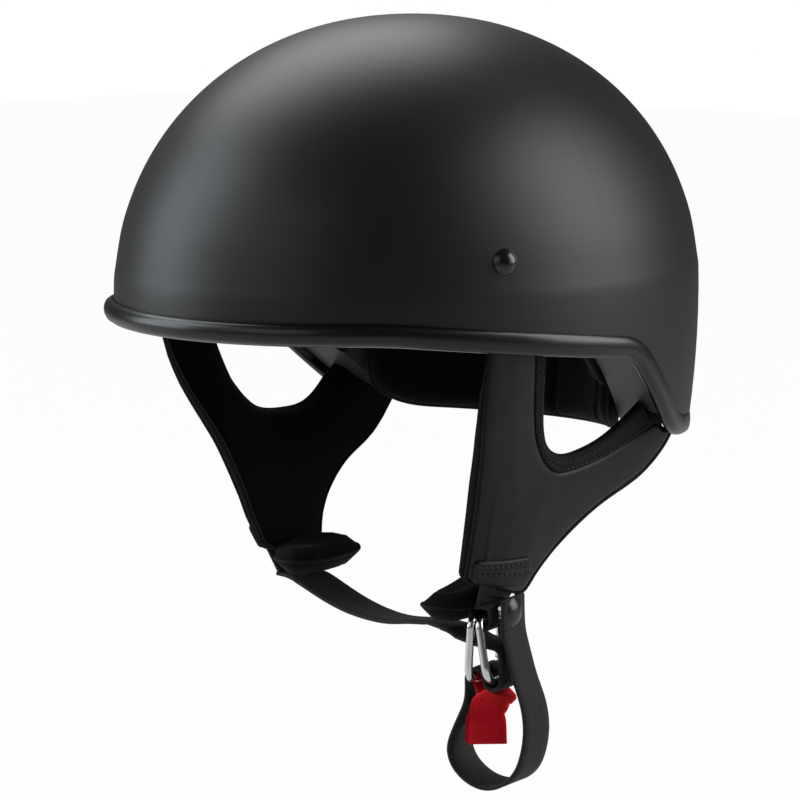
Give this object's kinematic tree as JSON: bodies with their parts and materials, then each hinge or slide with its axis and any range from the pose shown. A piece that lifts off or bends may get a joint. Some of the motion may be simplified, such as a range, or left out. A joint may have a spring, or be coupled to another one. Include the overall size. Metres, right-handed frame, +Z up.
{
  "type": "half shell motorcycle helmet",
  "caption": "Open half shell helmet with a rubber edge trim, padded ear flaps with ear holes, and a double ring chin strap with a snapped tail and a red pull tab.",
  "frame": {"origin": "the middle of the head opening, level with the lower edge of the rim over the ears, where the wearer's head holds the helmet", "axes": "+Z up along the longest extent, the brow faces -Y, and +X is towards the wearer's left ear along the shortest extent"},
  "size_m": [0.2334, 0.2848, 0.3326],
  "materials": {
    "matt_shell": "matt black moulded shell",
    "rubber_trim": "satin black moulded rubber bead",
    "liner_foam": "smooth dark expanded foam",
    "comfort_fabric": "black brushed comfort fabric over soft foam",
    "hook_tape": "black hook and loop tape",
    "black_rivet": "glossy black domed head",
    "washer_steel": "plain zinc plated washer",
    "strap_webbing": "black woven flat webbing",
    "flap_leather": "satin brown-black coated fabric",
    "binding_fabric": "black stitched binding tape",
    "flap_foam": "soft open cell foam",
    "lining_fabric": "black brushed lining fabric",
    "ring_steel": "bright nickel plated steel",
    "snap_black": "black lacquered domed snap cap",
    "red_ribbon": "bright red woven ribbon"
  },
  "bodies": {
    "helmet": {"outer_shell": "matt_shell", "edge_trim": "rubber_trim", "impact_liner": "liner_foam", "brow_pad": "comfort_fabric", "neck_pad": "comfort_fabric", "side_pad_left": "comfort_fabric", "side_pad_right": "comfort_fabric", "crown_pad": "comfort_fabric", "hook_dots": "hook_tape", "front_rivets": "black_rivet", "rear_rivets": "black_rivet", "front_washers": "washer_steel", "rear_washers": "washer_steel", "front_strap_left": "strap_webbing", "front_strap_right": "strap_webbing", "rear_strap_left": "strap_webbing", "rear_strap_right": "strap_webbing"},
    "left_flap": {"flap_panel_left": "flap_leather", "flap_binding_left": "binding_fabric", "flap_gusset_left": "binding_fabric", "flap_foam_left": "flap_foam", "flap_lining_left": "lining_fabric", "flap_patch_left": "flap_leather", "flap_webbing_left": "strap_webbing"},
    "right_flap": {"flap_panel_right": "flap_leather", "flap_binding_right": "binding_fabric", "flap_gusset_right": "binding_fabric", "flap_foam_right": "flap_foam", "flap_lining_right": "lining_fabric", "flap_patch_right": "flap_leather", "flap_webbing_right": "strap_webbing"},
    "chin_strap": {"chin_strap": "strap_webbing", "ring_eye": "strap_webbing", "snap_stud": "ring_steel"},
    "outer_ring": {"outer_ring": "ring_steel"},
    "inner_ring": {"inner_ring": "ring_steel"},
    "pull_tab": {"pull_tab": "red_ribbon"},
    "strap_tail": {"strap_tail": "strap_webbing", "snap_cap": "snap_black", "snap_socket": "ring_steel"}
  },
  "joints": [
    {"name": "left_flap_sway", "type": "hinge", "parent": "helmet", "child": "left_flap", "pos_m": [0.1006, -0.042, 0.00392], "axis": [-0.1045, 0.9147, -0.3905], "range_deg": [-5, 5], "stiffness_Nm_per_rad": 0.4},
    {"name": "right_flap_sway", "type": "hinge", "parent": "helmet", "child": "right_flap", "pos_m": [-0.1006, -0.042, 0.00392], "axis": [0.1045, 0.9147, -0.3905], "range_deg": [-5, 5], "stiffness_Nm_per_rad": 0.4},
    {"name": "chin_strap_tilt", "type": "hinge", "parent": "left_flap", "child": "chin_strap", "pos_m": [0.06096, -0.012, -0.11015], "axis": [0.0916, -0.9518, 0.2927], "range_deg": [-8, 8]},
    {"name": "outer_ring_swing", "type": "hinge", "parent": "chin_strap", "child": "outer_ring", "pos_m": [0.06067, -0.01133, -0.1165], "axis": [-0.2419, 0.9703, 0], "range_deg": [-2, 2]},
    {"name": "inner_ring_swing", "type": "hinge", "parent": "chin_strap", "child": "inner_ring", "pos_m": [0.05708, -0.01223, -0.1165], "axis": [-0.2419, 0.9703, 0], "range_deg": [-2, 2]},
    {"name": "pull_tab_swing", "type": "hinge", "parent": "inner_ring", "child": "pull_tab", "pos_m": [0.05571, -0.01257, -0.14346], "axis": [-0.2419, 0.9703, 0], "range_deg": [-20, 8]},
    {"name": "strap_tail_peel", "type": "hinge", "parent": "chin_strap", "child": "strap_tail", "pos_m": [0.05095, -0.01376, -0.14656], "axis": [-0.2419, 0.9703, 0], "range_deg": [0, 30]}
  ],
  "couplings": [
    {"joint": "right_flap_sway", "follows": "left_flap_sway", "ratio": 1},
    {"joint": "chin_strap_tilt", "follows": "left_flap_sway", "ratio": 1.528}
  ]
}
